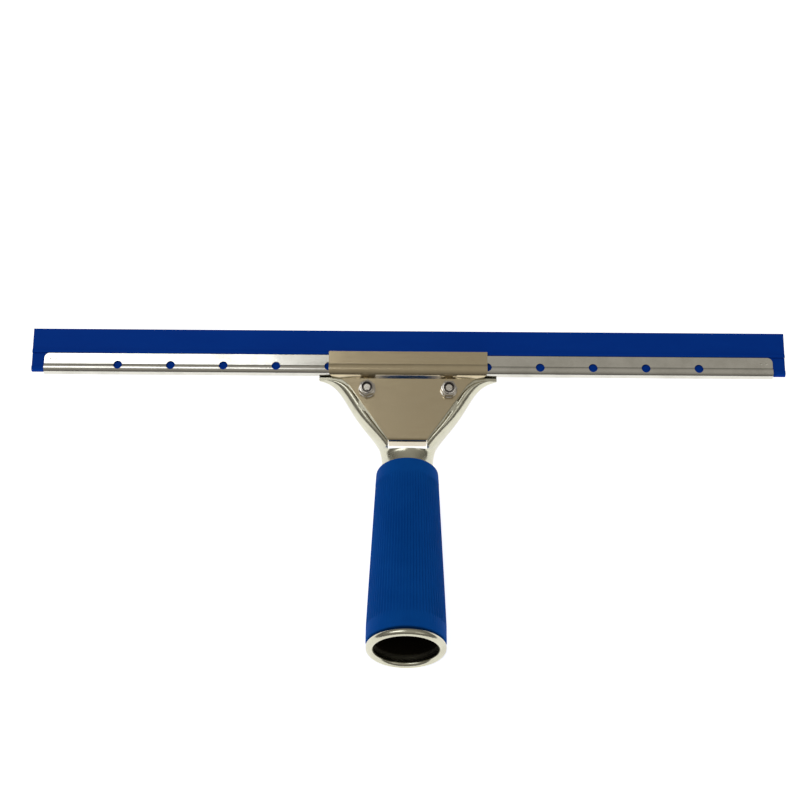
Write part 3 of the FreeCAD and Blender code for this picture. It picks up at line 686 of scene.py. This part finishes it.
@dataclass
class ClampFasteners:
    """The two screws with their washers and nuts.

    Attributes:
        thread_radius: outer radius of the thread.
        pitch: the thread's pitch.
        thread_depth: depth of the thread.
        reach: length of the screw from the seat of its head.
        lead: chamfer at the tip.
        head_radius: radius of the head.
        head_height: height of the head.
        head_round: rounding of the head's edge.
        seat_drop: the head's seat, measured down from the nut's face.
        washer_radius: outer radius of the washer.
        washer_height: its thickness.
        bore: the washer's bore radius.
        nut_width: the nut's width across flats.
        hexagon_height: height of the nut's hexagon.
        nut_height: the nut's height with its collar.
        nut_bore: the nut's bore radius.
        collar_radius: outer radius of the collar round the insert.
        collar_wall: the collar's wall.
        collar_round: rounding of the collar's rim.
        collar_lip: how far the rim is rolled over the insert.
        nut_cone: height of the cone turned on the hexagon's corners.
        collar_root: how far the collar is sunk into the hexagon before they are joined.
        left_turn: how far the left nut is turned where it stops, in degrees.
    """

    thread_radius: float = 2.0 * MM
    pitch: float = 0.7 * MM
    thread_depth: float = 0.36 * MM
    reach: float = 8.0 * MM
    lead: float = 0.45 * MM
    head_radius: float = 4.0 * MM
    head_height: float = 2.6 * MM
    head_round: float = 1.2 * MM
    seat_drop: float = 2.9 * MM
    washer_radius: float = 4.0 * MM
    washer_height: float = 0.5 * MM
    bore: float = 2.15 * MM
    nut_width: float = 7.0 * MM
    hexagon_height: float = 3.4 * MM
    nut_height: float = 5.0 * MM
    nut_bore: float = 2.06 * MM
    collar_radius: float = 3.05 * MM
    collar_wall: float = 0.4 * MM
    collar_round: float = 0.5 * MM
    collar_lip: float = 0.3 * MM
    nut_cone: float = 0.42 * MM
    collar_root: float = 0.3 * MM
    left_turn: float = 22.0

    def place(self, joint: dict) -> Matrix:
        """Where a nut sits, from its joint.

        Args:
            joint: the nut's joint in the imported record.

        Returns:
            The place of the nut's seat, with Z along the screw.
        """
        axis = Vector(joint["axis"])
        along = Vector((1.0, 0.0, 0.0))
        turn = Matrix((along, axis.cross(along), axis)).transposed().to_4x4()
        return Matrix.Translation(Vector(joint["pos_m"])) @ turn

    def screw(self, name: str) -> bpy.types.Object:
        """Model a screw about the origin, its head's seat at the origin and its tip up Z.

        Args:
            name: the piece's name.

        Returns:
            The screw.
        """
        root = self.thread_radius - self.thread_depth
        Bench.deselect()
        bpy.ops.mesh.primitive_plane_add(size=1.0, location=(0, 0, 0))
        screw = bpy.context.object
        screw.name = name
        Bench.edit()
        bpy.ops.mesh.delete(type="ONLY_FACE")
        shape = bmesh.from_edit_mesh(screw.data)
        shape.verts.ensure_lookup_table()
        chain = [(root, 0.0), (self.thread_radius, 0.42), (self.thread_radius, 0.58), (root, 1.0)]
        corners = sorted(shape.verts, key=lambda corner: math.atan2(corner.co.y, corner.co.x))
        for corner, (radius, share) in zip(corners, chain):
            corner.co = (radius, 0.0, share * self.pitch)
        bmesh.update_edit_mesh(screw.data)
        Bench.pick(Part.EDGE, lambda middle: abs(middle.x - root) < 1e-7)
        bpy.ops.mesh.delete(type="EDGE")
        Bench.close()
        bpy.ops.object.modifier_add(type="SCREW")
        helix = screw.modifiers[-1]
        turns = math.ceil(self.reach / self.pitch) + 3
        helix.axis = "Z"
        helix.screw_offset = self.pitch
        helix.iterations = turns
        helix.steps = 24
        helix.render_steps = 24
        helix.use_merge_vertices = True
        helix.merge_threshold = 1e-6
        bpy.ops.object.modifier_apply(modifier=helix.name)
        Bench.edit()
        bpy.ops.mesh.select_all(action="SELECT")
        bpy.ops.mesh.remove_doubles(threshold=1e-6)
        bpy.ops.mesh.normals_make_consistent(inside=False)
        bottom = self.pitch * 1.5
        top = bottom + self.reach - self.lead
        for level, way in ((bottom, -1.0), (top, 1.0)):
            bpy.ops.mesh.select_all(action="SELECT")
            bpy.ops.mesh.bisect(
                plane_co=(0, 0, level), plane_no=(0, 0, way), use_fill=True, clear_outer=True)
        Bench.pick(Part.FACE, lambda middle: middle.z > top - 1e-6)
        Bench.pull((0.0, 0.0, self.lead))
        share = (root - 0.1 * MM) / self.thread_radius
        Bench.scale((share, share, 1.0), (0.0, 0.0, top))
        bpy.ops.mesh.select_all(action="SELECT")
        bpy.ops.transform.translate(value=(0.0, 0.0, -bottom))
        Bench.close()
        head = Bench.drum(self.head_radius, self.head_height, 48, -self.head_height / 2, "head")
        Bench.edit()
        Bench.pick(Part.FACE, lambda middle: middle.z < -self.head_height + 1e-6)
        bpy.ops.mesh.bevel(offset=self.head_round, segments=5, affect="EDGES", profile=0.5)
        Bench.close()
        Bench.boolean(head, screw, "UNION")
        head.name = name
        for angle in (0.0, 90.0):
            Bench.boolean(head, self.driver(angle), "DIFFERENCE")
        return head

    def driver(self, angle: float) -> bpy.types.Object:
        """One blade of the tapering driver that sinks the cross recess.

        Args:
            angle: its turn about the screw, in degrees.

        Returns:
            The blade.
        """
        Bench.deselect()
        bpy.ops.mesh.primitive_cube_add(size=1.0, location=(0, 0, 0))
        blade = bpy.context.object
        Bench.edit()
        bpy.ops.mesh.select_all(action="SELECT")
        Bench.scale((4.4 * MM, 0.95 * MM, 2.0 * MM), (0.0, 0.0, 0.0))
        bpy.ops.transform.translate(value=(0.0, 0.0, -self.head_height + 0.2 * MM))
        Bench.pick(Part.FACE, lambda middle: middle.z > -self.head_height + 1.1 * MM)
        Bench.scale((0.45, 0.75, 1.0), (0.0, 0.0, 0.0))
        Bench.close()
        blade.matrix_world = Matrix.Rotation(math.radians(angle), 4, "Z")
        Bench.take(blade)
        bpy.ops.object.transform_apply(location=True, rotation=True, scale=True)
        return blade

    def washer(self, name: str) -> bpy.types.Object:
        """Model a washer that ends at the origin, with its edges broken.

        Args:
            name: the piece's name.

        Returns:
            The washer.
        """
        washer = Bench.drum(self.washer_radius, self.washer_height, 64, -self.washer_height / 2, name)
        Bench.boolean(washer, Bench.drum(self.bore, 4 * self.washer_height, 48), "DIFFERENCE")
        Bench.take(washer)
        Bench.edit()
        Bench.pick(Part.EDGE, lambda middle: abs(middle.xy.length - self.washer_radius) < 0.02 * MM
                   and abs(abs(middle.z + self.washer_height / 2) - self.washer_height / 2) < 1e-6)
        bpy.ops.mesh.bevel(offset=0.12 * MM, segments=2, affect="EDGES")
        Bench.close()
        return washer

    def nut(self, name: str) -> bpy.types.Object:
        """Model a locking nut that starts at the origin: a coned hexagon and a collar.

        Args:
            name: the piece's name.

        Returns:
            The nut.
        """
        corner = self.nut_width / 2 / math.cos(math.radians(30))
        nut = Bench.drum(corner, self.hexagon_height, 6, self.hexagon_height / 2, name)
        Bench.edit()
        bpy.ops.mesh.select_all(action="SELECT")
        bpy.ops.transform.rotate(value=math.radians(30), orient_axis="Z", center_override=(0, 0, 0))
        Bench.close()
        cone = self.nut_cone
        middle_height = self.hexagon_height - 2 * cone
        blank = Bench.drum(corner * 1.002, middle_height, 64, self.hexagon_height / 2, "blank")
        Bench.edit()
        for level, way in ((self.hexagon_height - cone, 1.0), (cone, -1.0)):
            Bench.pick(Part.FACE, lambda middle: abs(middle.z - level) < 1e-7)
            Bench.pull((0.0, 0.0, way * cone))
            share = 0.965 * self.nut_width / 2 / corner
            Bench.scale((share, share, 1.0), (0.0, 0.0, level))
        Bench.close()
        Bench.boolean(nut, blank, "INTERSECT")
        foot = self.hexagon_height - self.collar_root
        rise = self.nut_height - foot
        collar = Bench.drum(self.collar_radius, rise, 64, foot + rise / 2, "collar")
        Bench.edit()
        Bench.pick(Part.FACE, lambda middle: middle.z > self.nut_height - 1e-6)
        bpy.ops.mesh.bevel(offset=self.collar_round, segments=5, affect="EDGES", profile=0.5)
        Bench.close()
        Bench.boolean(nut, collar, "UNION")
        inner = self.collar_radius - self.collar_wall
        depth = self.nut_height - self.hexagon_height
        mouth = self.collar_radius - self.collar_round
        cutters = (
            (self.nut_bore, 2 * self.nut_height, self.nut_height / 2),
            (inner, depth - self.collar_lip, self.hexagon_height + (depth - self.collar_lip) / 2),
            (mouth, 2 * self.collar_lip, self.nut_height),
        )
        for radius, height, level in cutters:
            Bench.boolean(nut, Bench.drum(radius, height, 48, level, "cutter"), "DIFFERENCE")
        return nut

    def build(self, joints: list[dict]) -> dict[str, bpy.types.Object]:
        """Model both sides' screws, washers and nuts in place.

        Args:
            joints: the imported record's joints.

        Returns:
            Each piece by the name of the node it stands for.
        """
        pieces = {}
        for side in ("left", "right"):
            joint = next(joint for joint in joints if joint["name"] == side + "_nut_turn")
            seat = self.place(joint)
            head_seat = seat @ Matrix.Translation((0.0, 0.0, -self.seat_drop))
            turn = math.radians(self.left_turn if side == "left" else 0.0)
            nut_seat = seat @ Matrix.Rotation(turn, 4, "Z")
            made = (
                ("clamp_screw_" + side, self.screw("threaded_screw_" + side), head_seat),
                ("washer_" + side, self.washer("flat_washer_" + side), seat),
                ("clamp_nut_" + side, self.nut("locking_nut_" + side), nut_seat),
            )
            for node, piece, where in made:
                Bench.finish(piece, where, 35.0)
                pieces[node] = piece
        return pieces


# ---------------------------------------------------------------- studio

@dataclass
class Studio:
    """Plain pale floor, soft lights and the camera.

    Attributes:
        floor_size: side of the square floor.
        surround: colour of the light that comes from all round.
        surround_strength: its strength overhead.
        horizon_strength: its strength at the horizon.
    """

    floor_size: float = 4.0
    surround: tuple[float, float, float] = (1.0, 0.95, 0.86)
    surround_strength: float = 0.42
    horizon_strength: float = 0.07

    def lay_floor(self, level: float) -> None:
        """Lay the floor.

        Args:
            level: its height.
        """
        Bench.deselect()
        bpy.ops.mesh.primitive_plane_add(size=self.floor_size, location=(0, 0.1, 0))
        floor = bpy.context.object
        floor.name = "floor"
        bpy.ops.transform.translate(value=(0.0, 0.0, level))
        bpy.ops.object.transform_apply(location=True, rotation=True, scale=True)
        floor.data.materials.append(Floor().material())
        floor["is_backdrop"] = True

    def hang_light(self, name: str, place: tuple[float, float, float], aim: tuple[float, float, float],
                   size: tuple[float, float], power: float, colour: tuple[float, float, float]) -> None:
        """Hang a soft box and turn it to a point.

        Args:
            name: the light's name.
            place: where it hangs.
            aim: the point that it faces.
            size: its width and height.
            power: its power in watts.
            colour: its colour.
        """
        data = bpy.data.lights.new(name, "AREA")
        data.shape = "RECTANGLE"
        data.size, data.size_y = size
        data.energy = power
        data.color = colour
        light = bpy.data.objects.new(name, data)
        light.location = place
        light.rotation_euler = (Vector(aim) - Vector(place)).to_track_quat("-Z", "Y").to_euler()
        bpy.context.scene.collection.objects.link(light)

    def light(self) -> None:
        """Light the scene softly from the left, with a weak fill."""
        world = bpy.data.worlds.new("surround")
        world.use_nodes = True
        background = world.node_tree.nodes["Background"]
        background.inputs["Color"].default_value = (*self.surround, 1.0)
        tree = world.node_tree
        place = tree.nodes.new("ShaderNodeTexCoord")
        split = tree.nodes.new("ShaderNodeSeparateXYZ")
        fall = tree.nodes.new("ShaderNodeMapRange")
        fall.inputs["From Min"].default_value = 0.0
        fall.inputs["From Max"].default_value = 0.95
        fall.inputs["To Min"].default_value = self.horizon_strength
        fall.inputs["To Max"].default_value = self.surround_strength
        tree.links.new(place.outputs["Generated"], split.inputs["Vector"])
        tree.links.new(split.outputs["Z"], fall.inputs["Value"])
        tree.links.new(fall.outputs["Result"], background.inputs["Strength"])
        bpy.context.scene.world = world
        aim = (0.0, 0.1, 0.0)
        self.hang_light("soft_box_left", (-0.66, 0.0, 1.5), aim, (0.7, 1.0), 4.6, (0.96, 0.98, 1.0))
        self.hang_light("soft_box_fill", (0.9, -0.5, 1.1), aim, (0.5, 0.5), 0.5, (1.0, 0.98, 0.95))

    def set_camera(self) -> None:
        """Set the camera in front of the tool and below its head."""
        data = bpy.data.cameras.new("camera")
        data.sensor_width = 36.0
        data.lens = 67.5
        camera = bpy.data.objects.new("camera", data)
        camera.location = (-0.000459, -0.287904, 0.600902)
        camera.rotation_euler = (math.radians(35.001), math.radians(-0.0273), math.radians(0.4937))
        bpy.context.scene.collection.objects.link(camera)
        bpy.context.scene.camera = camera
        bpy.context.scene.view_settings.view_transform = "Standard"


# ---------------------------------------------------------------- assembly

BODY_OF = {
    "grip_sleeve": "handle",
    "clamp_screw_left": "handle",
    "clamp_screw_right": "handle",
    "washer_left": "left_washer",
    "washer_right": "right_washer",
    "clamp_nut_left": "left_nut",
    "clamp_nut_right": "right_nut",
}


@dataclass
class Squeegee:
    """The whole tool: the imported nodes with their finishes, and the pieces modelled here."""

    frame: dict

    def paint(self, piece: bpy.types.Object, material: bpy.types.Material) -> None:
        """Give a piece one material all over."""
        piece.data.materials.clear()
        piece.data.materials.append(material)
        for face in piece.data.polygons:
            face.material_index = 0

    def repaint_node(self, node: str, material: bpy.types.Material) -> None:
        """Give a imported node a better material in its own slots."""
        for slot in self.frame["nodes"][node].material_slots:
            slot.material = material
        log.info("%s: finished as %s", node, material.name)

    def stand_in(self, piece: bpy.types.Object, node: str, material: bpy.types.Material) -> None:
        """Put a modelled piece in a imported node's place.

        Args:
            piece: the modelled piece.
            node: the node that it stands for.
            material: its material.
        """
        self.paint(piece, material)
        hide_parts(node)
        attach(piece, BODY_OF[node])
        log.info("%s: %d faces, rides on %s", piece.name, len(piece.data.polygons), BODY_OF[node])

    def build(self) -> None:
        """Model, dress and place every piece."""
        self.repaint_node("handle_frame", FRAME_STEEL.material())
        self.repaint_node("jaw_plate", JAW_STEEL.material())
        self.repaint_node("channel", CHANNEL_STEEL.material())
        self.repaint_node("blade_rubber", BLADE_RUBBER.material())
        nylon = INSERT_NYLON.material()
        for side in ("left", "right"):
            self.repaint_node("nut_insert_" + side, nylon)
        self.stand_in(RibbedGrip().build(), "grip_sleeve", GRIP_RUBBER.material())
        fastener = FASTENER_STEEL.material()
        for node, piece in ClampFasteners().build(self.frame["joints"]).items():
            self.stand_in(piece, node, fastener)


def main() -> None:
    """Build the tool, the studio and the camera."""
    logging.basicConfig(level=logging.INFO, format="%(name)s: %(message)s")
    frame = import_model()
    cad_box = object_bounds()
    Bench.deselect()
    Squeegee(frame).build()
    studio = Studio()
    studio.lay_floor(cad_box[0][2])
    studio.light()
    studio.set_camera()
    log.info("boxes written")


if __name__ == "__main__":
    main()
